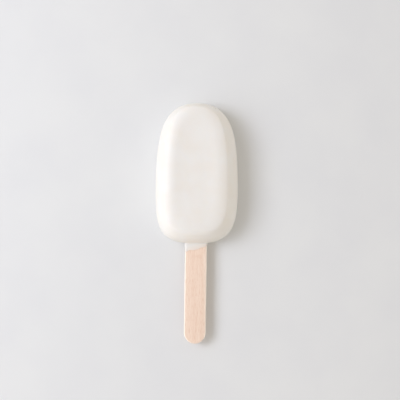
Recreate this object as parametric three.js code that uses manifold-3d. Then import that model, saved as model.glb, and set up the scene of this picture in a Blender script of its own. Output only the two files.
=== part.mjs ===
// A cakesicle: a moulded bar of cake in a smooth white coating, on a flat wooden stick.
// It lies on its flat back. Millimetres, +Z up, +Y towards the bar's round crown and
// the stick along -Y. The origin is on the ground, at the middle of the whole length.

import * as THREE from 'three';
import { mergeVertices } from 'three/addons/utils/BufferGeometryUtils.js';
import Module from 'manifold-3d';

// The bar, as it lies: its base is the end that the stick enters
const BAR_WIDTH = 38;
const BAR_LENGTH = 64.5;
const BAR_THICKNESS = 18;
const WIDEST_ABOVE_BASE = 24.7;

// How full the outline is: each value is a curve handle's share of the run beside it. The
// left hip came out of the mould a little fuller than the right one.
const SHOULDER_FULLNESS = { across: 0.845, along: 0.67 };
const LEFT_HIP_FULLNESS = { across: 0.88, along: 0.763 };
const RIGHT_HIP_FULLNESS = { across: 0.837, along: 0.743 };

// The moulded form over that outline, from the flat back up
const BACK_ROUNDING = 2.2;
const WALL_UPRIGHT = 4.7; // the curve handle that stands on the wall's upright foot
const WALL_STRAIGHT = 6.6; // the handle's height below the wall's top
const WALL_LEAN = 0.5; // how far the wall runs in for each millimetre up, at its top
const WALL_INSET = 4.4;
const WALL_TOP = 16.4;
const CORNER_FULLNESS = 0.62; // the handles' share of the way to the wall's meeting point
const PLATEAU_INSET = { side: 9.6, crown: 7.4, base: 11 };
const END_EASE = 1.44; // above 1, the two ends draw in later than the sides
const DISH_DEPTH = 0.3; // the set coating sinks this far in the middle of the plateau

// The stick, pushed into the base and leaning a little to the left
const STICK_LENGTH = 93;
const STICK_WIDTH = 10;
const STICK_THICKNESS = 2;
const STICK_SHOWN = 45.8;
const STICK_HEIGHT = 5.4; // from the ground to the middle of its thickness
const STICK_LEAN = THREE.MathUtils.degToRad(-0.3);
const STICK_EDGE = 0.7; // the tumbled edges
const STICK_GAP = 0.3; // room left round the stick in its socket

// The collar of coating that crept down the stick, longer on the left
const COLLAR_WALL = 0.4;
const COLLAR_CORNER = 1.2;
const COLLAR_REACH = 2.4;
const COLLAR_SLANT = 0.27; // extra reach for each millimetre to the left
const COLLAR_RIPPLE = 0.18;
const COLLAR_RIPPLES_ROUND = 5;
const COLLAR_ROOT = 6; // how far the collar starts inside the bar

// How finely the curved faces are divided
const STEPS_PER_CURVE = 18;
const BACK_LEVELS = 4;
const SIDE_LEVELS_PER_CURVE = 8;
const DISH_LEVELS = 3;
const COLLAR_STEPS = 64;
const STICK_END_STEPS = 12;

const TOTAL_LENGTH = BAR_LENGTH + STICK_SHOWN;
const BASE_Y = TOTAL_LENGTH / 2 - BAR_LENGTH;

const wasm = await Module();
wasm.setup();

// A ring of points round the bar, drawn in from its outline by a share of the plateau's
// inset: 0 is the outline itself and 1 the plateau's rim.
function barRing(drawnIn, height) {
  const halfWidth = BAR_WIDTH / 2 - drawnIn * PLATEAU_INSET.side;
  const widest = BASE_Y + WIDEST_ABOVE_BASE;
  const endDrawnIn = drawnIn ** END_EASE;
  const crown = BASE_Y + BAR_LENGTH - endDrawnIn * PLATEAU_INSET.crown;
  const base = BASE_Y + endDrawnIn * PLATEAU_INSET.base;
  const overCrown = SHOULDER_FULLNESS.across * halfWidth;
  const shoulder = widest + SHOULDER_FULLNESS.along * (crown - widest);
  const underLeft = LEFT_HIP_FULLNESS.across * halfWidth;
  const leftHip = widest - LEFT_HIP_FULLNESS.along * (widest - base);
  const underRight = RIGHT_HIP_FULLNESS.across * halfWidth;
  const rightHip = widest - RIGHT_HIP_FULLNESS.along * (widest - base);

  const outline = new THREE.Shape();
  outline.moveTo(0, crown);
  outline.bezierCurveTo(-overCrown, crown, -halfWidth, shoulder, -halfWidth, widest);
  outline.bezierCurveTo(-halfWidth, leftHip, -underLeft, base, 0, base);
  outline.bezierCurveTo(underRight, base, halfWidth, rightHip, halfWidth, widest);
  outline.bezierCurveTo(halfWidth, shoulder, overCrown, crown, 0, crown);
  return closedPoints(outline.getPoints(STEPS_PER_CURVE)).map(
    (point) => new THREE.Vector3(point.x, point.y, height),
  );
}

// The points of a closed outline, without the last one where it repeats the first
function closedPoints(points) {
  const closes = points[0].distanceTo(points[points.length - 1]) < 1e-6;
  return closes ? points.slice(0, -1) : points;
}

// Joins rings of equal counts, stacked one after the other and each running anticlockwise
// as seen from the last, into one closed skin with a fan of triangles at either end.
function loft(rings) {
  const count = rings[0].length;
  const positions = rings.flat().flatMap((point) => point.toArray());
  const index = [];
  for (let level = 0; level + 1 < rings.length; level += 1) {
    for (let step = 0; step < count; step += 1) {
      const near = level * count + step;
      const nearNext = level * count + ((step + 1) % count);
      index.push(near, nearNext, nearNext + count);
      index.push(near, nearNext + count, near + count);
    }
  }
  for (const last of [false, true]) {
    const ring = last ? rings[rings.length - 1] : rings[0];
    const start = last ? (rings.length - 1) * count : 0;
    const hub = positions.length / 3;
    positions.push(...middleOf(ring).toArray());
    for (let step = 0; step < count; step += 1) {
      const here = start + step;
      const next = start + ((step + 1) % count);
      index.push(hub, last ? here : next, last ? next : here);
    }
  }
  const geometry = new THREE.BufferGeometry();
  geometry.setAttribute('position', new THREE.Float32BufferAttribute(positions, 3));
  geometry.setIndex(index);
  return geometry;
}

// The mean of a ring's points
function middleOf(ring) {
  const sum = ring.reduce((total, point) => total.add(point), new THREE.Vector3());
  return sum.divideScalar(ring.length);
}

// The bar's side in section, as the distance in from the outline and the height: a wall
// that is upright at its foot and leans in towards its top, a tight corner, and a shoulder
// that flattens out into the plateau.
function sideProfile() {
  const meetingPoint = WALL_INSET + WALL_LEAN * (BAR_THICKNESS - WALL_TOP);
  const towards = (from, to) => THREE.MathUtils.lerp(from, to, CORNER_FULLNESS);

  const profile = new THREE.Path();
  profile.moveTo(0, BACK_ROUNDING);
  profile.bezierCurveTo(
    0,
    BACK_ROUNDING + WALL_UPRIGHT,
    WALL_INSET - WALL_LEAN * WALL_STRAIGHT,
    WALL_TOP - WALL_STRAIGHT,
    WALL_INSET,
    WALL_TOP,
  );
  profile.bezierCurveTo(
    towards(WALL_INSET, meetingPoint),
    towards(WALL_TOP, BAR_THICKNESS),
    towards(PLATEAU_INSET.side, meetingPoint),
    BAR_THICKNESS,
    PLATEAU_INSET.side,
    BAR_THICKNESS,
  );
  return profile.getPoints(SIDE_LEVELS_PER_CURVE);
}

// The bar itself: a flat back, a small rounding, the moulded side, and the plateau's
// shallow dish.
function barGeometry() {
  const rings = [];
  for (let level = 0; level < BACK_LEVELS; level += 1) {
    const turn = (level / BACK_LEVELS) * (Math.PI / 2);
    const drawnIn = (BACK_ROUNDING / PLATEAU_INSET.side) * (1 - Math.sin(turn));
    rings.push(barRing(drawnIn, BACK_ROUNDING * (1 - Math.cos(turn))));
  }
  for (const point of sideProfile()) {
    rings.push(barRing(point.x / PLATEAU_INSET.side, point.y));
  }
  const rim = rings[rings.length - 1];
  const middle = middleOf(rim);
  for (let level = 1; level <= DISH_LEVELS; level += 1) {
    const spread = 1 - level / (DISH_LEVELS + 1);
    const height = BAR_THICKNESS - DISH_DEPTH * (1 - spread * spread);
    rings.push(rim.map((point) => point.clone().lerp(middle, 1 - spread).setZ(height)));
  }
  return loft(rings);
}

// Moves a piece made round the stick's own axis, with its base end at y = 0, into place
function alongStick(geometry) {
  return geometry.rotateZ(STICK_LEAN).translate(0, BASE_Y, STICK_HEIGHT);
}

// The round-ended stick, grown on every side by a margin: 0 for the stick itself and the
// gap for its socket.
function stickGeometry(margin) {
  const radius = STICK_WIDTH / 2 + margin - STICK_EDGE;
  const foot = STICK_WIDTH / 2 - STICK_SHOWN;
  const head = foot + STICK_LENGTH - STICK_WIDTH;

  const outline = new THREE.Shape();
  outline.absarc(0, foot, radius, Math.PI, 2 * Math.PI);
  outline.absarc(0, head, radius, 0, Math.PI);
  outline.closePath();

  const core = STICK_THICKNESS + 2 * margin - 2 * STICK_EDGE;
  const geometry = new THREE.ExtrudeGeometry(outline, {
    depth: core,
    curveSegments: STICK_END_STEPS,
    bevelThickness: STICK_EDGE,
    bevelSize: STICK_EDGE,
    bevelSegments: 3,
  });
  geometry.translate(0, 0, -core / 2);
  return alongStick(geometry);
}

// The collar as a solid sleeve, from inside the bar to its slanted, rippled lower edge
function collarGeometry() {
  const halfWidth = STICK_WIDTH / 2 + STICK_GAP + COLLAR_WALL;
  const halfHeight = STICK_THICKNESS / 2 + STICK_GAP + COLLAR_WALL;
  const section = roundedRectangle(halfWidth, halfHeight, COLLAR_CORNER);
  const loop = closedPoints(section.getSpacedPoints(COLLAR_STEPS));
  const root = loop.map((point) => new THREE.Vector3(point.x, COLLAR_ROOT, point.y));
  const edge = loop.map((point) => {
    const angle = Math.atan2(point.y / halfHeight, point.x / halfWidth);
    const ripple = COLLAR_RIPPLE * Math.sin(COLLAR_RIPPLES_ROUND * angle);
    const reach = COLLAR_REACH - COLLAR_SLANT * point.x + ripple;
    return new THREE.Vector3(point.x, -reach, point.y);
  });
  return alongStick(loft([root, edge]));
}

// A rectangle with round corners about the origin, running anticlockwise
function roundedRectangle(halfWidth, halfHeight, corner) {
  const x = halfWidth - corner;
  const y = halfHeight - corner;
  const quarter = Math.PI / 2;
  const shape = new THREE.Shape();
  shape.absarc(x, y, corner, 0, quarter);
  shape.absarc(-x, y, corner, quarter, 2 * quarter);
  shape.absarc(-x, -y, corner, 2 * quarter, 3 * quarter);
  shape.absarc(x, -y, corner, 3 * quarter, 4 * quarter);
  shape.closePath();
  return shape;
}

// Turns a closed geometry into a solid that can be joined and cut
function solidOf(geometry) {
  const bare = geometry.clone();
  bare.deleteAttribute('normal');
  bare.deleteAttribute('uv');
  const merged = mergeVertices(bare, 1e-4);
  const vertProperties = new Float32Array(merged.attributes.position.array);
  const triVerts = new Uint32Array(merged.index.array);
  return new wasm.Manifold(new wasm.Mesh({ numProp: 3, vertProperties, triVerts }));
}

// Turns a joined or cut solid back into a geometry
function geometryOf(solid) {
  const { vertProperties, triVerts } = solid.getMesh();
  const geometry = new THREE.BufferGeometry();
  geometry.setAttribute('position', new THREE.BufferAttribute(vertProperties, 3));
  geometry.setIndex(new THREE.BufferAttribute(triVerts, 1));
  geometry.computeVertexNormals();
  return geometry;
}

// The bar and its collar in one piece, with the socket that the stick fills
function coatedBar() {
  const body = solidOf(barGeometry()).add(solidOf(collarGeometry()));
  const geometry = geometryOf(body.subtract(solidOf(stickGeometry(STICK_GAP))));
  const coating = new THREE.MeshStandardMaterial({ color: 0xece6dd, roughness: 0.35, metalness: 0 });
  const mesh = new THREE.Mesh(geometry, coating);
  mesh.name = 'coated_bar';
  return mesh;
}

// The wooden stick
function stick() {
  const birch = new THREE.MeshStandardMaterial({ color: 0xedd4c2, roughness: 0.75, metalness: 0 });
  const mesh = new THREE.Mesh(stickGeometry(0), birch);
  mesh.name = 'stick';
  return mesh;
}

const cakesicle = new THREE.Group();
cakesicle.name = 'cakesicle';
cakesicle.add(coatedBar());
cakesicle.add(stick());

export default cakesicle;
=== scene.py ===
"""Dresses the cakesicle: a white coated bar of cake on a birch stick, lying on its flat back.

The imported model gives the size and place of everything. This script makes the fine surfaces
over it, their finishes, and a plain pale table top with window light to see them by. Lengths
are in metres, with the bar's round crown towards +Y and its stick towards -Y.
"""

import logging
import math
from dataclasses import dataclass
from enum import Enum, IntEnum
from typing import Callable

import bmesh
import bpy
from mathutils import Euler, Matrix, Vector


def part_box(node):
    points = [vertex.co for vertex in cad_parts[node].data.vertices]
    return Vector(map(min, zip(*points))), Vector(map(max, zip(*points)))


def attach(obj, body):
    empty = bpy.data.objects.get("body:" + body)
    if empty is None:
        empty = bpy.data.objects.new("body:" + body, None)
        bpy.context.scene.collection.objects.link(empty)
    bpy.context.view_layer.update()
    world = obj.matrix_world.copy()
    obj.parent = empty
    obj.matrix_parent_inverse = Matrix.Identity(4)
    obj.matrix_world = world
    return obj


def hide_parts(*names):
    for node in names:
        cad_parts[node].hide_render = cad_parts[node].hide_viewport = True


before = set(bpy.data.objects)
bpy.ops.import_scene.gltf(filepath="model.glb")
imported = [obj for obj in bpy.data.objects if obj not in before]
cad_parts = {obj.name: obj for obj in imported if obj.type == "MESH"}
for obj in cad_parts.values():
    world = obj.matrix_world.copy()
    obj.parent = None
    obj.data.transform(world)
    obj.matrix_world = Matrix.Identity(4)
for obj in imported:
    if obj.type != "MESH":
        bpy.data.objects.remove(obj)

MM = 0.001
CLOSE = 0.01 * MM
SMOOTH_BELOW = math.radians(40)

LinearColour = tuple[float, float, float, float]
Pair = tuple[float, float]
Triple = tuple[float, float, float]
Piece = bpy.types.Object
Tree = bpy.types.NodeTree
Socket = bpy.types.NodeSocket
PlaceTest = Callable[[Vector, Vector], bool]

logging.basicConfig(level=logging.INFO, format="%(message)s")
log = logging.getLogger("cakesicle")


class Part(Enum):
    """The two separate pieces, with each one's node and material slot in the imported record."""

    BAR = ("coated_bar", "white_coating")
    STICK = ("stick", "birch_wood")

    @property
    def node(self) -> str:
        """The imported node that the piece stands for."""
        return self.value[0]

    @property
    def slot(self) -> str:
        """The record's material slot."""
        return self.value[1]


class Element(Enum):
    """What a selection in edit mode is made of."""

    VERTICES = "VERT"
    EDGES = "EDGE"
    FACES = "FACE"


class Blend(IntEnum):
    """The sockets of a Mix node that blends colours, which share their names with others."""

    SHARE = 0
    UNDER = 6
    OVER = 7
    RESULT = 2


# ------------------------ colours and nodes


def linear(hex_code: str) -> LinearColour:
    """Turns an sRGB hex colour into the linear values that shaders use.

    Args:
        hex_code: The colour as six hex digits after a hash sign.

    Returns:
        Red, green, blue and an alpha of 1.
    """
    channels = (int(hex_code[place : place + 2], 16) / 255 for place in (1, 3, 5))
    red, green, blue = (
        value / 12.92 if value <= 0.04045 else ((value + 0.055) / 1.055) ** 2.4
        for value in channels
    )
    return (red, green, blue, 1.0)


def add_node(
    tree: Tree,
    kind: str,
    inputs: dict[str | int, object] | tuple[object, ...] = (),
    output: str | int = 0,
    **settings: object,
) -> Socket:
    """Adds one node with its settings, its input values and the links into it.

    Args:
        tree: The node tree that gets the node.
        kind: Blender's name for the node type, without the prefix that all of them share.
        inputs: For each input a plain value or a socket to link from, by name or number or
            else in the node's own order. A range is mapped from its start and end to a new
            start and end, given in that order.
        output: The name or number of the output that is wanted.
        settings: Properties of the node itself.

    Returns:
        That output.
    """
    node = tree.nodes.new("ShaderNode" + kind)
    for name, value in settings.items():
        setattr(node, name, value)
    named = inputs if isinstance(inputs, dict) else dict(enumerate(inputs))
    for name, value in named.items():
        if isinstance(value, Socket):
            tree.links.new(value, node.inputs[name])
        else:
            node.inputs[name].default_value = value
    return node.outputs[output]


def shade_ramp(ramp: Socket, places: Pair, colours: tuple[str, str]) -> None:
    """Sets the two stops of a new colour ramp.

    Args:
        ramp: The output of the colour ramp.
        places: The places of its stops.
        colours: Their sRGB hex colours.
    """
    for element, place, colour in zip(ramp.node.color_ramp.elements, places, colours):
        element.position = place
        element.color = linear(colour)


# ------------------------ work at the bench


def take_up(piece: Piece) -> None:
    """Makes one object the selected and active one.

    Args:
        piece: The object.
    """
    bpy.ops.object.select_all(action="DESELECT")
    piece.select_set(True)
    bpy.context.view_layer.objects.active = piece


def open_mesh(piece: Piece) -> None:
    """Goes into edit mode on one object."""
    take_up(piece)
    bpy.ops.object.mode_set(mode="EDIT")


def close_mesh() -> None:
    """Goes back to object mode."""
    bpy.ops.object.mode_set(mode="OBJECT")


def select_all() -> None:
    """Selects the whole mesh in edit mode."""
    bpy.ops.mesh.select_all(action="SELECT")


def face_outwards() -> None:
    """Turns the normals of the whole mesh outwards."""
    select_all()
    bpy.ops.mesh.normals_make_consistent(inside=False)


def pull(offset: Triple, spread: float, falloff: str = "SMOOTH") -> None:
    """Moves the selection in edit mode, and what is near it less and less.

    Args:
        offset: How far the selection moves.
        spread: How far off the last vertices that move are.
        falloff: How the move dies away, by Blender's name for it.
    """
    bpy.ops.transform.translate(
        value=offset,
        use_proportional_edit=True,
        proportional_edit_falloff=falloff,
        proportional_size=spread,
    )


def pick(test: PlaceTest, element: Element = Element.VERTICES) -> None:
    """Selects only the wanted parts of the mesh in edit mode, by their place and normal.

    Args:
        test: Takes the middle and the normal of each, and says whether it is wanted.
        element: Whether vertices, edges or faces are selected.
    """
    bpy.ops.mesh.select_mode(type=element.value)
    bpy.ops.mesh.select_all(action="DESELECT")
    mesh = bpy.context.edit_object.data
    shape = bmesh.from_edit_mesh(mesh)
    if element is Element.VERTICES:
        wanted = [item for item in shape.verts if test(item.co, item.normal)]
    elif element is Element.EDGES:
        wanted = [item for item in shape.edges if test(middle_of(item), item.verts[0].normal)]
    else:
        wanted = [item for item in shape.faces if test(item.calc_center_median(), item.normal)]
    for item in wanted:
        item.select_set(True)
    shape.select_flush_mode()
    bmesh.update_edit_mesh(mesh)


def middle_of(edge: bmesh.types.BMEdge) -> Vector:
    """The middle of an edge."""
    return (edge.verts[0].co + edge.verts[1].co) / 2


def turn_about_z(angle: float, centre: Vector) -> None:
    """Turns the selection anticlockwise, as seen from above.

    Args:
        angle: The turn in radians.
        centre: The point that stays where it is.
    """
    bpy.ops.transform.rotate(value=-angle, orient_axis="Z", center_override=centre)


def cubic(start: Pair, leaving: Pair, arriving: Pair, end: Pair, steps: int) -> list[Pair]:
    """Steps along a curve between two points.

    Args:
        start: Where the curve starts.
        leaving: The handle that it leaves towards.
        arriving: The handle that it arrives from.
        end: Where it ends.
        steps: How many steps it is divided into.

    Returns:
        The points, with both ends.
    """
    points = []
    for step in range(steps + 1):
        share = step / steps
        rest = 1 - share
        weights = (rest**3, 3 * rest**2 * share, 3 * rest * share**2, share**3)
        handles = (start, leaving, arriving, end)
        points.append(
            tuple(sum(w * handle[axis] for w, handle in zip(weights, handles)) for axis in (0, 1))
        )
    return points


def start_square(name: str, size: float, centre: Vector, tilt: float = 0.0) -> Piece:
    """Starts a piece as a flat square.

    Args:
        name: The new object's name.
        size: The square's width.
        centre: Its middle.
        tilt: How far it is tilted back about X.

    Returns:
        The mesh object, left in edit mode with all of it selected.
    """
    bpy.ops.mesh.primitive_plane_add(size=size, location=centre, rotation=(tilt, 0, 0))
    piece = bpy.context.object
    piece.name = name
    bpy.ops.object.transform_apply(location=True, rotation=True, scale=True)
    open_mesh(piece)
    select_all()
    return piece


def apply_modifier(piece: Piece, kind: str, **settings: object) -> None:
    """Adds a modifier to a piece and applies it at once.

    Args:
        piece: The mesh object.
        kind: Blender's name for the modifier type.
        settings: The modifier's own settings.
    """
    take_up(piece)
    modifier = piece.modifiers.new(kind.lower(), kind)
    for name, value in settings.items():
        setattr(modifier, name, value)
    bpy.ops.object.modifier_apply(modifier=modifier.name)


def join_solids(piece: Piece, tool: Piece, operation: str) -> None:
    """Unites a piece with another solid, or cuts that solid out of it, and drops the tool.

    Args:
        piece: The solid that is kept.
        tool: The solid that is used up.
        operation: UNION or DIFFERENCE.
    """
    apply_modifier(piece, "BOOLEAN", operation=operation, solver="EXACT", object=tool)
    bpy.data.objects.remove(tool, do_unlink=True)
    # The seam's many-sided faces are split well, as slivers along it would fold over
    open_mesh(piece)
    bpy.ops.mesh.select_mode(type=Element.FACES.value)
    bpy.ops.mesh.select_all(action="DESELECT")
    bpy.ops.mesh.select_face_by_sides(number=4, type="GREATER")
    bpy.ops.mesh.quads_convert_to_tris(quad_method="BEAUTY", ngon_method="BEAUTY")
    close_mesh()


def finish_piece(piece: Piece, part: Part) -> None:
    """Gives a finished piece its place in the model.

    Args:
        piece: The dressed piece, with its place in its mesh.
        part: Which part of the object it is.
    """
    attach(piece, "root")
    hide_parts(part.node)
    log.info("%s: %d faces", piece.name, len(piece.data.polygons))


# ------------------------ finishes


class Finish:
    """What all finishes share: each is one material, drawn by the place on the object."""

    name: str
    refraction: float
    roughness: float
    roughness_drift: float

    def draw(self, tree: Tree, place: Socket) -> tuple[Socket, Socket, Socket | None]:
        """Draws the finish's patterns.

        Args:
            tree: The material's node tree.
            place: The place on the object.

        Returns:
            The colour, the roughness, and the height in millimetres where it has a relief.
        """
        raise NotImplementedError

    def material(self) -> bpy.types.Material:
        """Builds the material.

        Returns:
            The material, drawn and with its relief.
        """
        material = bpy.data.materials.new(self.name)
        material.use_nodes = True
        tree = material.node_tree
        shader = tree.nodes["Principled BSDF"]
        shader.inputs["IOR"].default_value = self.refraction
        colour, roughness, height = self.draw(tree, add_node(tree, "TexCoord", output="Object"))
        tree.links.new(colour, shader.inputs["Base Color"])
        tree.links.new(roughness, shader.inputs["Roughness"])
        if height is not None:
            bump = add_node(tree, "Bump", {"Strength": 1.0, "Distance": MM, "Height": height})
            tree.links.new(bump, shader.inputs["Normal"])
        return material

    def gloss(self, tree: Tree, pattern: Socket, limits: Pair = (0.0, 1.0)) -> Socket:
        """Varies the roughness with a pattern.

        Args:
            tree: The material's node tree.
            pattern: The pattern.
            limits: Its strength where the finish is smoothest, and where it is roughest.

        Returns:
            The roughness.
        """
        drift = self.roughness_drift
        roughness = (self.roughness - drift, self.roughness + drift)
        return add_node(tree, "MapRange", (pattern, *limits, *roughness))

    @staticmethod
    def stretched(tree: Tree, place: Socket, size: Triple, turn: float = 0.0) -> Socket:
        """Draws a noise out one way, as grain or a scraper's streaks are.

        Args:
            tree: The material's node tree.
            place: The place on the object.
            size: How large its marks are along X, Y and Z.
            turn: How far they are turned about Z.

        Returns:
            The noise's strength.
        """
        drawn_out = add_node(
            tree,
            "Mapping",
            {"Vector": place, "Rotation": (0, 0, turn), "Scale": size},
            vector_type="TEXTURE",
        )
        return add_node(tree, "TexNoise", {"Vector": drawn_out, "Scale": 1.0, "Detail": 3.0})

    @staticmethod
    def add_up(tree: Tree, *layers: tuple[Socket, float]) -> Socket:
        """Adds up the layers of a relief.

        Args:
            tree: The material's node tree.
            layers: Each pattern and how high it stands.

        Returns:
            The height.
        """
        height = 0.0
        for pattern, depth in layers:
            height = add_node(tree, "Math", (pattern, depth, height), operation="MULTIPLY_ADD")
        return height


@dataclass(frozen=True)
class WhiteCoating(Finish):
    """White compound coating, set against a polished silicone mould.

    The smooth mould leaves a satin skin that mirrors the window as a broad soft band, and the
    fat in it lets a little light in, which softens the shade on the turned-away side. Up
    close it has slow ripples where it was brushed into the mould, a fine skin and a few
    pinholes from air bubbles. Where it crept down the stick it is only a film, thinner
    towards its edge and to the right, and the wood's colour comes through.
    """

    base_y: float
    name: str = "white_coating_moulded"
    refraction: float = 1.46
    glow: float = 0.12
    glow_spread: Triple = (1.0, 0.85, 0.6)
    glow_depth: float = 1.2 * MM
    colour: str = "#eae9e4"
    mottle: str = "#e9e6df"
    mottle_size: float = 9 * MM
    through_film: str = "#f0dccb"
    film_start: float = 0.1 * MM
    film_end: float = 5 * MM
    film_lean: float = 0.35
    film_from: float = 0.1 * MM
    film_to: float = -0.2 * MM
    cloud_range: Pair = (0.35, 0.65)
    roughness: float = 0.44
    roughness_drift: float = 0.06
    touch_size: float = 6 * MM
    touch_range: Pair = (0.3, 0.7)
    ripple_size: float = 5 * MM
    ripple_depth: float = 0.045
    skin_size: float = 0.5 * MM
    skin_depth: float = 0.004
    pinhole_spacing: float = 3.4 * MM
    pinhole_radius: float = 0.2 * MM
    pinhole_depth: float = 0.08

    def material(self) -> bpy.types.Material:
        """Builds the material and lets a little light into it.

        Returns:
            The material, drawn and with its relief.
        """
        material = super().material()
        shader = material.node_tree.nodes["Principled BSDF"]
        shader.inputs["Subsurface Weight"].default_value = self.glow
        shader.inputs["Subsurface Radius"].default_value = self.glow_spread
        shader.inputs["Subsurface Scale"].default_value = self.glow_depth
        return material

    def draw(self, tree: Tree, place: Socket) -> tuple[Socket, Socket, Socket | None]:
        """Draws the tone, the touched satin skin and the relief.

        Args:
            tree: The material's node tree.
            place: The place on the object.

        Returns:
            The colour, the roughness and the height in millimetres.
        """
        touches = add_node(tree, "TexNoise", {"Vector": place, "Scale": 1 / self.touch_size, "Detail": 2.0})
        roughness = self.gloss(tree, touches, self.touch_range)
        return self.tone(tree, place), roughness, self.relief(tree, place)

    def tone(self, tree: Tree, place: Socket) -> Socket:
        """Mottles the white a little and lets the wood's colour through the film on the stick.

        Args:
            tree: The material's node tree.
            place: The place on the object.

        Returns:
            The colour.
        """
        clouds = add_node(tree, "TexNoise", {"Vector": place, "Scale": 1 / self.mottle_size, "Detail": 3.0})
        white = add_node(tree, "ValToRGB", {"Fac": clouds})
        shade_ramp(white, self.cloud_range, (self.mottle, self.colour))
        down = (self.film_lean, -1, 0)
        run_down = add_node(tree, "VectorMath", (place, down), "Value", operation="DOT_PRODUCT")
        along = add_node(tree, "SeparateXYZ", (place,), "Y")
        base = self.base_y
        thinness, off_the_bar = (
            add_node(tree, "MapRange", limits)
            for limits in (
                (run_down, self.film_start - base, self.film_end - base),
                (along, base + self.film_from, base + self.film_to),
            )
        )
        share = add_node(tree, "Math", (thinness, off_the_bar), operation="MULTIPLY")
        return add_node(
            tree,
            "Mix",
            {Blend.SHARE: share, Blend.UNDER: white, Blend.OVER: linear(self.through_film)},
            Blend.RESULT,
            data_type="RGBA",
        )

    def relief(self, tree: Tree, place: Socket) -> Socket:
        """Adds up the slow ripples, the fine skin and the pinholes.

        Args:
            tree: The material's node tree.
            place: The place on the object.

        Returns:
            The height in millimetres.
        """
        # The real skin is finer still: it is drawn coarse enough to catch the light
        ripples, skin = (
            add_node(tree, "TexNoise", {"Vector": place, "Scale": 1 / size, "Detail": detail})
            for size, detail in ((self.ripple_size, 1.0), (self.skin_size, 2.0))
        )
        # Of the bubbles scattered through the coating, only those that meet the skin show
        bubbles = add_node(tree, "TexVoronoi", {"Vector": place, "Scale": 1 / self.pinhole_spacing})
        reach = self.pinhole_radius / self.pinhole_spacing
        pinholes = add_node(
            tree, "MapRange", (bubbles, 0.0, reach, 1.0, 0.0), interpolation_type="SMOOTHSTEP"
        )
        return self.add_up(
            tree,
            (ripples, self.ripple_depth),
            (skin, self.skin_depth),
            (pinholes, -self.pinhole_depth),
        )


@dataclass(frozen=True)
class LevelledCoating(WhiteCoating):
    """The same coating on the flat back, levelled with a scraper as it set.

    The scraper drags fine streaks across the bar and tears more air bubbles open, so the back
    is duller than the moulded face.
    """

    name: str = "white_coating_levelled"
    roughness: float = 0.6
    pinhole_spacing: float = 2.2 * MM
    streak_size: Pair = (0.7 * MM, 22 * MM)
    streak_depth: float = 0.05
    streak_lean: float = math.radians(8)

    def relief(self, tree: Tree, place: Socket) -> Socket:
        """Adds the scraper's streaks, a little aslant across the bar, to the coating's relief.

        Args:
            tree: The material's node tree.
            place: The place on the object.

        Returns:
            The height in millimetres.
        """
        width, length = self.streak_size
        streaks = self.stretched(tree, place, (length, width, width), self.streak_lean)
        return self.add_up(tree, (super().relief(tree, place), 1.0), (streaks, self.streak_depth))


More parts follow.
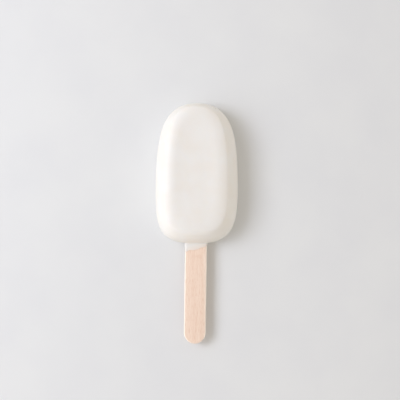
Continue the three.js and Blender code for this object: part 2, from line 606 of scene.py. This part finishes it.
@dataclass(frozen=True)
class BirchVeneer(Finish):
    """Birch veneer, rotary cut, punched into sticks and tumbled smooth.

    The knife leaves a fine lengthwise grain with short darker flecks and slow bands of tone,
    and painted light makes this stick paler along its right side. Tumbling rounds and pales
    the edges, and a painted highlight makes them paler still, and the round ends show darker,
    open end grain.
    """

    name: str = "birch_veneer_tumbled"
    refraction: float = 1.5
    colour: str = "#f3ddca"
    band: str = "#ecd2bd"
    fleck: str = "#dcb497"
    grain_range: Pair = (0.38, 0.62)
    fleck_share: float = 0.3
    fleck_range: Pair = (0.5, 0.64)
    # The pale edge colour is partly the tumbled wood and partly a painted highlight; it also paints the
    # light on the right side
    edge: str = "#fdf4e9"
    edge_highlight_share: float = 0.8
    edge_highlight_range: Pair = (0.995, 0.75)
    end_grain: str = "#e2c2a6"
    end_grain_share: float = 0.6
    end_grain_range: Pair = (0.5, 0.9)
    # Painted light: the stick's right side is mixed towards the pale colour, standing in for the light it
    # catches
    painted_right_light_share: float = 0.35
    painted_right_light_range: Pair = (3.3 * MM, 4.9 * MM)
    roughness: float = 0.62
    roughness_drift: float = 0.06
    fibre_size: Pair = (0.35 * MM, 11 * MM)
    fibre_depth: float = 0.02
    fleck_size: Pair = (0.4 * MM, 2.8 * MM)
    fleck_depth: float = 0.02
    band_size: Pair = (2.6 * MM, 70 * MM)
    band_share: float = 0.36

    def draw(self, tree: Tree, place: Socket) -> tuple[Socket, Socket, Socket | None]:
        """Draws the fibres, the slow bands and the short dark flecks.

        Args:
            tree: The material's node tree.
            place: The place on the object.

        Returns:
            The colour, the roughness and the height in millimetres.
        """
        fibres, bands, marks = (
            self.stretched(tree, place, (width, length, width))
            for width, length in (self.fibre_size, self.band_size, self.fleck_size)
        )
        flecks = add_node(tree, "MapRange", (marks, *self.fleck_range), interpolation_type="SMOOTHSTEP")
        mean = add_node(
            tree, "Mix", {"Factor": self.band_share, "A": fibres, "B": bands}, data_type="FLOAT"
        )
        return (
            self.tone(tree, place, mean, flecks),
            self.gloss(tree, fibres),
            self.add_up(tree, (fibres, self.fibre_depth), (flecks, -self.fleck_depth)),
        )

    def tone(self, tree: Tree, place: Socket, grain: Socket, flecks: Socket) -> Socket:
        """Colours the grain, the painted light along the right side, the edges' paleness and painted
        highlight, and the end grain.

        Args:
            tree: The material's node tree.
            place: The place on the object.
            grain: The strength of the fibres and bands together.
            flecks: Where the short dark flecks are.

        Returns:
            The colour.
        """
        colour = add_node(tree, "ValToRGB", {"Fac": grain})
        shade_ramp(colour, self.grain_range, (self.band, self.colour))
        across = add_node(tree, "SeparateXYZ", (place,), "X")
        normal = add_node(tree, "TexCoord", output="Normal")
        facing = add_node(tree, "SeparateXYZ", (normal,)).node.outputs
        upright, endwise = (
            add_node(tree, "Math", (facing[axis],), operation="ABSOLUTE") for axis in ("Z", "Y")
        )
        layers = (
            (flecks, (0.0, 1.0), self.fleck_share, self.fleck),
            # painted light along the stick's right side
            (across, self.painted_right_light_range, self.painted_right_light_share, self.edge),
            # rounded edges made paler: partly tumbled wood, partly a painted highlight
            (upright, self.edge_highlight_range, self.edge_highlight_share, self.edge),
            (endwise, self.end_grain_range, self.end_grain_share, self.end_grain),
        )
        for pattern, limits, most, over in layers:
            share = add_node(tree, "MapRange", (pattern, *limits, 0.0, most))
            colour = add_node(
                tree,
                "Mix",
                {Blend.SHARE: share, Blend.UNDER: colour, Blend.OVER: linear(over)},
                Blend.RESULT,
                data_type="RGBA",
            )
        return colour


@dataclass(frozen=True)
class TableTop(Finish):
    """A plain pale stone table top, honed: a dull even sheen, with a faint cloudiness."""

    name: str = "table_top_honed"
    refraction: float = 1.4
    colour: str = "#e2e4e3"
    cloud: str = "#dfe1e1"
    cloud_size: float = 30 * MM
    cloud_range: Pair = (0.35, 0.65)
    roughness: float = 0.55
    roughness_drift: float = 0.03
    honing_size: float = 2 * MM

    def draw(self, tree: Tree, place: Socket) -> tuple[Socket, Socket, Socket | None]:
        """Draws the clouds and the honing, which leaves no relief.

        Args:
            tree: The material's node tree.
            place: The place on the object.

        Returns:
            The colour, the roughness and no height.
        """
        clouds, honing = (
            add_node(tree, "TexNoise", {"Vector": place, "Scale": 1 / size, "Detail": detail})
            for size, detail in ((self.cloud_size, 3.0), (self.honing_size, 2.0))
        )
        tone = add_node(tree, "ValToRGB", {"Fac": clouds})
        shade_ramp(tone, self.cloud_range, (self.cloud, self.colour))
        return tone, self.gloss(tree, honing), None


# ------------------------ the stick


@dataclass
class Stick:
    """The flat birch stick with its two round ends, pushed into the bar's base.

    An end's two bevels are just short of half the width, so that they don't run into each other.
    """

    length: float = 93 * MM
    width: float = 10 * MM
    thickness: float = 2 * MM
    shown: float = 45.8 * MM
    height: float = 5.4 * MM
    lean: float = math.radians(-0.3)
    edge_rounding: float = 0.7 * MM
    end_bevel: float = 0.49999
    end_steps: int = 24
    edge_steps: int = 5
    base_y: float = 0.0

    def build(self) -> Piece:
        """Makes the piece.

        Returns:
            The finished mesh object.
        """
        piece = self.punch("stick_surface", 0.0)
        take_up(piece)
        bpy.ops.object.shade_smooth_by_angle(angle=SMOOTH_BELOW)
        piece.data.materials.append(BirchVeneer().material())
        return piece

    def punch(self, name: str, margin: float) -> Piece:
        """Punches the stick out of veneer and rounds its edges.

        Args:
            name: The new object's name.
            margin: How much larger it is on every side, as for its own socket.

        Returns:
            The solid, in its place.
        """
        width = self.width + 2 * margin
        thickness = self.thickness + 2 * margin
        low = self.height - thickness / 2
        middle = Vector((0, self.base_y - self.shown + self.length / 2, low))
        piece = start_square(name, width, middle)
        stretch = (self.length + 2 * margin) / width
        bpy.ops.transform.resize(value=(1, stretch, 1), center_override=middle)
        bpy.ops.mesh.bevel(offset=self.end_bevel * width, segments=self.end_steps, affect="VERTICES")
        bpy.ops.mesh.remove_doubles(threshold=CLOSE)
        select_all()
        bpy.ops.mesh.extrude_region_move(TRANSFORM_OT_translate={"value": (0, 0, thickness)})
        face_outwards()
        faces = (low, low + thickness)
        pick(lambda place, _: min(abs(place.z - face) for face in faces) < CLOSE, Element.EDGES)
        bpy.ops.mesh.bevel(offset=self.edge_rounding, segments=self.edge_steps, affect="EDGES")
        select_all()
        turn_about_z(self.lean, Vector((0, self.base_y, self.height)))
        close_mesh()
        return piece


# ------------------------ the bar


@dataclass
class Collar:
    """The thin sleeve of coating that crept down the stick from the bar's base.

    It spreads where it leaves the bar, thins to a film that is domed over the stick's flats,
    and ends in a slanted edge that is longer on the left and waves a little. Its rings are
    given as shares of its reach.
    """

    stick: Stick
    film: float = 0.2 * MM
    side_film: float = 0.1 * MM
    doming: float = 0.22 * MM
    rim_thinning: Pair = (0.8, 0.35)
    reach: float = 2.4 * MM
    slant: float = 0.27
    flare: float = 0.15 * MM
    flare_run: float = 0.35 * MM
    root: float = 6 * MM
    corner_steps: int = 6
    flat_cuts: int = 31
    rings: tuple[float, ...] = (0.0, 0.07, 0.14, 0.22, 0.34, 0.5, 0.68, 0.84, 0.93, 0.98, 1.0)
    waves: tuple[Pair, ...] = (
        (-4.9 * MM, 0.3 * MM),
        (-2.9 * MM, -0.06 * MM),
        (-0.8 * MM, 0.45 * MM),
        (0.9 * MM, 0.42 * MM),
        (3.2 * MM, 0.2 * MM),
    )
    wave_core: Pair = (0.19 * MM, 0.6 * MM)
    wave_spread: float = 1.5 * MM

    def build(self) -> Piece:
        """Makes the sleeve as a closed solid round the stick.

        Returns:
            The solid, ready to be united with the bar.
        """
        piece = self.draw_section()
        self.dome_flats()
        self.draw_down()
        self.slant_edge()
        self.wave_edge()
        face_outwards()
        turn_about_z(self.stick.lean, Vector((0, self.stick.base_y, self.stick.height)))
        close_mesh()
        return piece

    def stations(self) -> list[Triple]:
        """The sleeve's rings.

        Returns:
            For each ring, its share of the reach and how far it stands off the stick's edges
            and its flats.
        """
        thinning = (*(1.0 for _ in self.rings[2:]), *self.rim_thinning)
        stations = []
        for share, left in zip(self.rings, thinning):
            spread = self.flare * math.exp(-share * self.reach / self.flare_run)
            stations.append((share, left * self.side_film + spread, left * self.film + spread))
        return stations

    def draw_section(self) -> Piece:
        """Draws the rounded section inside the bar, facing down the stick.

        Returns:
            The mesh object, left in edit mode.
        """
        start = Vector((0, self.stick.base_y + self.root, self.stick.height))
        piece = start_square("collar", MM, start, math.pi / 2)
        width = self.stick.width + 2 * self.side_film
        depth = self.stick.thickness + 2 * self.film
        bpy.ops.transform.resize(value=(width / MM, 1, depth / MM), center_override=start)
        corner = self.stick.edge_rounding + self.film
        bpy.ops.mesh.bevel(offset=corner, segments=self.corner_steps, affect="VERTICES")
        pick(lambda place, _: abs(place.x) < CLOSE, Element.EDGES)
        bpy.ops.mesh.subdivide(number_cuts=self.flat_cuts)
        return piece

    def dome_flats(self) -> None:
        """Domes the section over each flat of the stick, with the other half hidden."""
        for side in (1, -1):
            pick(lambda place, _, up=side: up * (place.z - self.stick.height) < CLOSE)
            bpy.ops.mesh.hide()
            pick(lambda place, _: abs(place.x) < CLOSE)
            pull((0, 0, side * self.doming), self.stick.width / 2, "INVERSE_SQUARE")
            bpy.ops.mesh.reveal()

    def draw_down(self) -> None:
        """Extrudes the section down the stick, ring by ring."""
        height = self.stick.height
        level = self.stick.base_y + self.root
        across_now = self.stick.width / 2 + self.side_film
        up_now = self.stick.thickness / 2 + self.film
        pick(lambda place, _: True, Element.FACES)
        for share, off_edges, off_flats in self.stations():
            next_level = self.stick.base_y - share * self.reach
            across_next = self.stick.width / 2 + off_edges
            up_next = self.stick.thickness / 2 + off_flats
            bpy.ops.mesh.extrude_region_move(TRANSFORM_OT_translate={"value": (0, next_level - level, 0)})
            bpy.ops.transform.resize(
                value=(across_next / across_now, 1, up_next / up_now),
                center_override=(0, next_level, height),
            )
            level, across_now, up_now = next_level, across_next, up_next

    def slant_edge(self) -> None:
        """Slants each ring a little more than the one before it."""
        for share, *_ in self.stations()[1:]:
            level = self.stick.base_y - share * self.reach
            angle = math.asin(self.slant * share)
            centre = Vector((0, level, self.stick.height))
            pick(lambda place, _, at=level: abs(place.y - at) < CLOSE)
            turn_about_z(angle, centre)
            bpy.ops.transform.resize(value=(1 / math.cos(angle), 1, 1), center_override=centre)

    def wave_edge(self) -> None:
        """Pulls the sleeve's edge down or up the stick at a few places, softly."""
        near_x, near_y = self.wave_core
        for across_at, reach_more in self.waves:
            edge = self.stick.base_y - self.reach + self.slant * across_at
            pick(
                lambda place, _, x=across_at, y=edge: abs(place.x - x) < near_x
                and abs(place.y - y) < near_y
            )
            pull((0, -reach_more, 0), self.wave_spread)


@dataclass(frozen=True)
class Mark:
    """A small raised or sunk place on the moulded face, left by the mould or a fingertip."""

    across: float
    above_base: float
    rise: float
    spread: float = 1.5 * MM


@dataclass
class CoatedBar:
    """The bar of cake in its coating, with the collar that crept down the stick.

    The outline is four curves between the crown, the two widest places and the base, with
    the left hip a little fuller than the right one. Every ring of the body is that outline
    drawn in towards one middle, so the bar is raised ring by ring, as its mould was cut.
    """

    stick: Stick
    half_width: float = 19 * MM
    length: float = 64.5 * MM
    thickness: float = 18 * MM
    widest_above_base: float = 24.7 * MM
    crown_across: float = 0.845
    crown_along: float = 0.67
    left_hip_across: float = 0.88
    left_hip_along: float = 0.763
    right_hip_across: float = 0.837
    right_hip_along: float = 0.743
    outline_steps: int = 32

    back_rounding: float = 2.2 * MM
    wall_inset: float = 4.45 * MM
    wall_top: float = 16.5 * MM
    wall_lean: float = 0.5
    wall_upright: float = 5 * MM
    wall_straight: float = 6.6 * MM
    corner_fullness: float = 0.58
    side_inset: float = 9.6 * MM
    crown_inset: float = 7.5 * MM
    base_inset: float = 11 * MM
    end_ease: float = 1.44
    dish_depth: float = 0.3 * MM
    wall_rings: int = 9
    shoulder_rings: int = 12
    dish_rings: int = 5
    dish_innermost: float = 0.35
    rounding_rings: int = 6
    back_rings: tuple[float, ...] = (0.86, 0.7, 0.5)
    scraped_below: float = -0.99

    swell: float = 0.16 * MM
    swell_size: float = 11 * MM
    swell_shares: Pair = (0.5, 1.0)
    socket_gap: float = 0.02 * MM
    marks: tuple[Mark, ...] = (
        Mark(across=-11.9 * MM, above_base=7.8 * MM, rise=0.16 * MM, spread=2 * MM),
        Mark(across=1 * MM, above_base=62.1 * MM, rise=-0.08 * MM),
        Mark(across=3 * MM, above_base=61.9 * MM, rise=-0.1 * MM),
        Mark(across=5 * MM, above_base=61.5 * MM, rise=-0.1 * MM),
        Mark(across=6.8 * MM, above_base=60.8 * MM, rise=-0.08 * MM),
    )
    mark_core: float = 0.5 * MM
    soft_above: float = 13.5 * MM
    soft_from_base: tuple[float, ...] = (12 * MM, 9 * MM, 6 * MM)
    soft_passes: int = 30
    soft_factor: float = 0.5

    @property
    def base_y(self) -> float:
        """Where the bar's base is."""
        return self.stick.base_y

    def build(self) -> Piece:
        """Makes the whole piece.

        Returns:
            The finished mesh object.
        """
        piece = self.draw_outline()
        self.raise_walls()
        self.close_plateau()
        self.close_back()
        close_mesh()
        apply_modifier(piece, "SUBSURF", levels=1, render_levels=1)
        self.soften_base(piece)
        self.unsettle(piece)
        self.mark_face(piece)
        join_solids(piece, Collar(self.stick).build(), "UNION")
        join_solids(piece, self.stick.punch("socket", self.socket_gap), "DIFFERENCE")
        take_up(piece)
        bpy.ops.object.shade_smooth_by_angle(angle=SMOOTH_BELOW)
        self.dress(piece)
        return piece

    def dress(self, piece: Piece) -> None:
        """Coats the piece, with the scraped finish on its flat back.

        Args:
            piece: The joined and cut mesh.
        """
        piece.data.materials.clear()
        piece.data.materials.append(WhiteCoating(base_y=self.base_y).material())
        piece.data.materials.append(LevelledCoating(base_y=self.base_y).material())
        open_mesh(piece)
        select_all()
        piece.active_material_index = 0
        bpy.ops.object.material_slot_assign()
        pick(lambda place, normal: place.z < CLOSE and normal.z < self.scraped_below, Element.FACES)
        piece.active_material_index = 1
        bpy.ops.object.material_slot_assign()
        close_mesh()

    def draw_outline(self) -> Piece:
        """Bends a circle of curve into the bar's outline and turns it into a mesh.

        Returns:
            The mesh object, left in edit mode with its ring of edges selected.
        """
        bpy.ops.curve.primitive_bezier_circle_add(radius=self.half_width)
        curve = bpy.context.object
        curve.name = "coated_bar_surface"
        base = self.base_y
        crown = base + self.length
        widest = base + self.widest_above_base
        level = self.back_rounding
        to_shoulder = Vector((0, self.crown_along * (crown - widest), 0))
        to_left_hip = Vector((0, -self.left_hip_along * (widest - base), 0))
        to_right_hip = Vector((0, -self.right_hip_along * (widest - base), 0))
        over_crown = Vector((self.crown_across * self.half_width, 0, 0))
        under_left = Vector((-self.left_hip_across * self.half_width, 0, 0))
        under_right = Vector((self.right_hip_across * self.half_width, 0, 0))
        stations = (
            (Vector((-self.half_width, widest, level)), to_left_hip, to_shoulder),
            (Vector((0, crown, level)), -over_crown, over_crown),
            (Vector((self.half_width, widest, level)), to_shoulder, to_right_hip),
            (Vector((0, base, level)), under_right, under_left),
        )
        for point, (place, before, after) in zip(curve.data.splines[0].bezier_points, stations):
            point.handle_left_type = "FREE"
            point.handle_right_type = "FREE"
            point.co = place
            point.handle_left = place + before
            point.handle_right = place + after
        curve.data.resolution_u = self.outline_steps
        bpy.ops.object.convert(target="MESH")
        piece = bpy.context.object
        bpy.ops.object.mode_set(mode="EDIT")
        select_all()
        bpy.ops.mesh.remove_doubles(threshold=CLOSE)
        return piece

    def draw_in(self, start: float, end: float, rise: float, height: float) -> None:
        """Extrudes the selected rim to the next ring.

        Args:
            start: How far the rim is drawn in now, as a share of the plateau's inset.
            end: How far the new ring is drawn in.
            rise: How much higher the new ring is.
            height: The new ring's height.
        """
        low, high = self.ends_at(start)
        new_low, new_high = self.ends_at(end)
        middle = (new_low + new_high) / 2
        bpy.ops.mesh.extrude_edges_move(
            TRANSFORM_OT_translate={"value": (0, middle - (low + high) / 2, rise)}
        )
        bpy.ops.transform.resize(
            value=(
                self.half_width_at(end) / self.half_width_at(start),
                (new_high - new_low) / (high - low),
                1,
            ),
            center_override=(0, middle, height),
        )

    def half_width_at(self, drawn_in: float) -> float:
        """The half width of a ring."""
        return self.half_width - drawn_in * self.side_inset

    def ends_at(self, drawn_in: float) -> Pair:
        """The base end and the crown end of a ring, which draw in later than its sides."""
        ends_in = drawn_in**self.end_ease
        return (
            self.base_y + self.base_inset * ends_in,
            self.base_y + self.length - self.crown_inset * ends_in,
        )

    def shrink(self, start: float, end: float, height: float) -> None:
        """Shrinks the selected ring evenly towards the plateau's middle.

        Args:
            start: The ring's size now.
            end: Its new size, in the same measure.
            height: The ring's height.
        """
        middle = sum(self.ends_at(1.0)) / 2
        share = end / start
        bpy.ops.transform.resize(value=(share, share, 1), center_override=(0, middle, height))

    def raise_walls(self) -> None:
        """Raises the wall and the shoulder that bends over into the plateau.

        The wall is upright at its foot and leans in more towards its top, where a tight
        corner leads on to the shoulder, and that flattens out into the plateau.
        """
        foot = (0.0, self.back_rounding)
        top = (self.wall_inset, self.wall_top)
        plateau = (self.side_inset, self.thickness)
        upright = (0.0, self.back_rounding + self.wall_upright)
        leaning = (
            self.wall_inset - self.wall_lean * self.wall_straight,
            self.wall_top - self.wall_straight,
        )
        corner = (self.wall_inset + self.wall_lean * (self.thickness - self.wall_top), self.thickness)
        before, after = (
            tuple(place + self.corner_fullness * (goal - place) for place, goal in zip(end, corner))
            for end in (top, plateau)
        )
        profile = cubic(foot, upright, leaning, top, self.wall_rings)
        profile += cubic(top, before, after, plateau, self.shoulder_rings)[1:]
        for (start, low), (end, high) in zip(profile, profile[1:]):
            self.draw_in(start / self.side_inset, end / self.side_inset, high - low, high)

    def close_plateau(self) -> None:
        """Runs the shallow dish in from the plateau's rim and fills its middle."""
        spread = 1.0
        depth = 0.0
        for ring in range(1, self.dish_rings + 1):
            new_spread = 1 - (1 - self.dish_innermost) * ring / self.dish_rings
            new_depth = self.dish_depth * (1 - new_spread**2)
            bpy.ops.mesh.extrude_edges_move(TRANSFORM_OT_translate={"value": (0, 0, depth - new_depth)})
            self.shrink(spread, new_spread, self.thickness - new_depth)
            spread, depth = new_spread, new_depth
        bpy.ops.mesh.fill_grid(span=self.outline_steps)

    def close_back(self) -> None:
        """Rounds the wall's foot under and closes the flat back."""
        level = self.back_rounding
        pick(lambda place, _: abs(place.z - level) < CLOSE)
        bpy.ops.mesh.select_mode(type=Element.EDGES.value)
        drawn_in = 0.0
        for ring in range(1, self.rounding_rings + 1):
            turn = ring / self.rounding_rings * math.pi / 2
            new_level = self.back_rounding * (1 - math.sin(turn))
            new_drawn_in = self.back_rounding / self.side_inset * (1 - math.cos(turn))
            self.draw_in(drawn_in, new_drawn_in, new_level - level, new_level)
            drawn_in, level = new_drawn_in, new_level
        for share in self.back_rings:
            bpy.ops.mesh.extrude_edges_move()
            self.shrink(1.0, share, 0)
        bpy.ops.mesh.fill_grid(span=self.outline_steps)
        face_outwards()

    def soften_base(self, piece: Piece) -> None:
        """Softens the shoulder over the base, more and more towards the stick.

        Args:
            piece: The closed bar.
        """
        open_mesh(piece)
        for reach in self.soft_from_base:
            limit = self.base_y + reach
            pick(lambda place, _, end=limit: place.y < end and place.z > self.soft_above)
            bpy.ops.mesh.vertices_smooth(factor=self.soft_factor, repeat=self.soft_passes)
        close_mesh()

    def unsettle(self, piece: Piece) -> None:
        """Gives the moulded face the slight swells of a hand-filled bar, and keeps the back flat.

        Args:
            piece: The closed bar.
        """
        take_up(piece)
        moulded = piece.vertex_groups.new(name="moulded_face")
        bpy.ops.object.mode_set(mode="EDIT")
        for share in self.swell_shares:
            foot = self.back_rounding * (1 + share)
            pick(lambda place, _, low=foot: place.z > low - CLOSE)
            bpy.context.tool_settings.vertex_group_weight = share
            bpy.ops.object.vertex_group_assign()
        close_mesh()
        swells = bpy.data.textures.new("swells", type="CLOUDS")
        swells.noise_scale = self.swell_size
        swells.noise_depth = 1
        apply_modifier(
            piece,
            "DISPLACE",
            texture=swells,
            texture_coords="LOCAL",
            direction="NORMAL",
            mid_level=0.5,
            strength=self.swell,
            vertex_group=moulded.name,
        )

    def mark_face(self, piece: Piece) -> None:
        """Raises the small lump near the base and sinks the faint groove along the crown.

        Args:
            piece: The closed bar.
        """
        open_mesh(piece)
        for mark in self.marks:
            centre = Vector((mark.across, self.base_y + mark.above_base))
            pick(
                lambda place, normal, at=centre: normal.z > 0
                and (place.xy - at).length < self.mark_core
            )
            pull((0, 0, mark.rise), mark.spread)
        close_mesh()


# ------------------------ the studio


@dataclass(frozen=True)
class Daylight:
    """One soft sheet of daylight on the left.

    Its place is given as seen from the bar: how far it is turned towards the crown from
    straight left, its angle above the table, and its distance.
    """

    name: str
    turn: float
    height: float
    distance: float
    size: Pair
    power: float

    def hang(self, subject: Vector, colour: str) -> None:
        """Hangs the light so that it faces the bar.

        Args:
            subject: The point that it faces.
            colour: Its colour, as sRGB hex.
        """
        flat = math.cos(self.height) * self.distance
        rise = math.sin(self.height) * self.distance
        way = Vector((-flat * math.cos(self.turn), flat * math.sin(self.turn), rise))
        bpy.ops.object.light_add(type="AREA", location=subject + way)
        light = bpy.context.object
        light.name = self.name
        light.data.shape = "RECTANGLE"
        light.data.size, light.data.size_y = self.size
        light.data.energy = self.power
        light.data.color = linear(colour)[:3]
        light.rotation_euler = (-way).to_track_quat("-Z", "Y").to_euler()


@dataclass
class Studio:
    """The table top, a window on the left, the pale room around it and the camera overhead.

    The room's walls are nearer at the two sides, so the low light is stronger there. The room
    is turned about the bar a little, anticlockwise from above.
    """

    table_size: float = 6.0
    picture_width: float = 184.4 * MM
    lens: float = 85.0
    sensor: float = 36.0
    nearest_seen: float = 10 * MM
    aim_height: float = 4 * MM
    aim: Pair = (1.6 * MM, 10.7 * MM)
    roll: float = math.radians(0.52)
    lean: float = math.radians(1.1)
    pitch: float = math.radians(1.2)

    daylight: str = "#e9edfb"
    sheets: tuple[Daylight, ...] = (
        Daylight(
            name="window",
            turn=math.radians(8),
            height=math.radians(50.4),
            distance=0.8,
            size=(0.36, 0.36),
            power=2.87,
        ),
        Daylight(
            name="curtain",
            turn=math.radians(4.5),
            height=math.radians(46.8),
            distance=1.0,
            size=(1.6, 0.5),
            power=2.73,
        ),
    )

    room_colour: str = "#fff7ef"
    room_light: float = 0.579
    room_turn: float = math.radians(13)
    low_light_sides: float = 3.55
    low_light_crown: float = 1.26
    low_light_base: float = 1.38
    low_light_top: float = 0.303
    floor_light: float = 0.2

    def build(self, subject: Vector) -> None:
        """Sets up everything that isn't part of the object.

        Args:
            subject: The middle of the bar, where the window's light is aimed.
        """
        self.lay_table()
        for sheet in self.sheets:
            sheet.hang(subject, self.daylight)
        self.light_room()
        self.place_camera()
        bpy.context.scene.view_settings.view_transform = "Standard"

    def lay_table(self) -> None:
        """Lays the pale table top."""
        bpy.ops.mesh.primitive_plane_add(size=self.table_size)
        table = bpy.context.object
        table.name = "table_top"
        table.data.materials.append(TableTop().material())

    def light_room(self) -> None:
        """Fills the room with soft light, stronger low down where its pale walls are."""
        world = bpy.data.worlds.new("room")
        bpy.context.scene.world = world
        world.use_nodes = True
        tree = world.node_tree
        background = tree.nodes["Background"]
        background.inputs["Color"].default_value = linear(self.room_colour)
        way = add_node(tree, "TexCoord", output="Generated")
        turned = add_node(
            tree,
            "VectorRotate",
            {"Vector": way, "Angle": -self.room_turn},
            rotation_type="Z_AXIS",
        )
        parts = add_node(tree, "SeparateXYZ", (turned,)).node.outputs
        sideways = add_node(tree, "Math", (parts["X"], parts["X"]), operation="MULTIPLY")
        ends = (self.low_light_base, self.low_light_crown)
        at_ends = add_node(tree, "MapRange", (parts["Y"], -1.0, 1.0, *ends))
        low = add_node(tree, "MapRange", (sideways, 0.0, 1.0, at_ends, self.low_light_sides))
        top = self.low_light_top
        strength = add_node(tree, "MapRange", (parts["Z"], 0.0, top, low, self.room_light))
        above_floor = add_node(tree, "MapRange", (parts["Z"], -top, 0.0, self.floor_light, 1.0))
        all_round = add_node(tree, "Math", (strength, above_floor), operation="MULTIPLY")
        tree.links.new(all_round, background.inputs["Strength"])

    def place_camera(self) -> None:
        """Hangs the camera over the table, a little to the right and stick side of upright."""
        distance = self.picture_width * self.lens / self.sensor
        subject = Vector((*self.aim, self.aim_height))
        turned = Euler((self.pitch, self.lean, self.roll))
        back = turned.to_matrix() @ Vector((0, 0, distance))
        bpy.ops.object.camera_add(location=subject + back, rotation=turned)
        camera = bpy.context.object
        camera.name = "overhead_camera"
        camera.data.lens = self.lens
        camera.data.sensor_width = self.sensor
        camera.data.clip_start = self.nearest_seen
        bpy.context.scene.camera = camera


def main() -> None:
    """Builds every piece in order."""
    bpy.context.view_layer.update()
    _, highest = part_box(Part.BAR.node)
    stick = Stick(base_y=highest.y - CoatedBar.length)
    finish_piece(CoatedBar(stick).build(), Part.BAR)
    finish_piece(stick.build(), Part.STICK)
    Studio().build(Vector((0, stick.base_y + CoatedBar.length / 2, 0)))


if __name__ == "__main__":
    main()
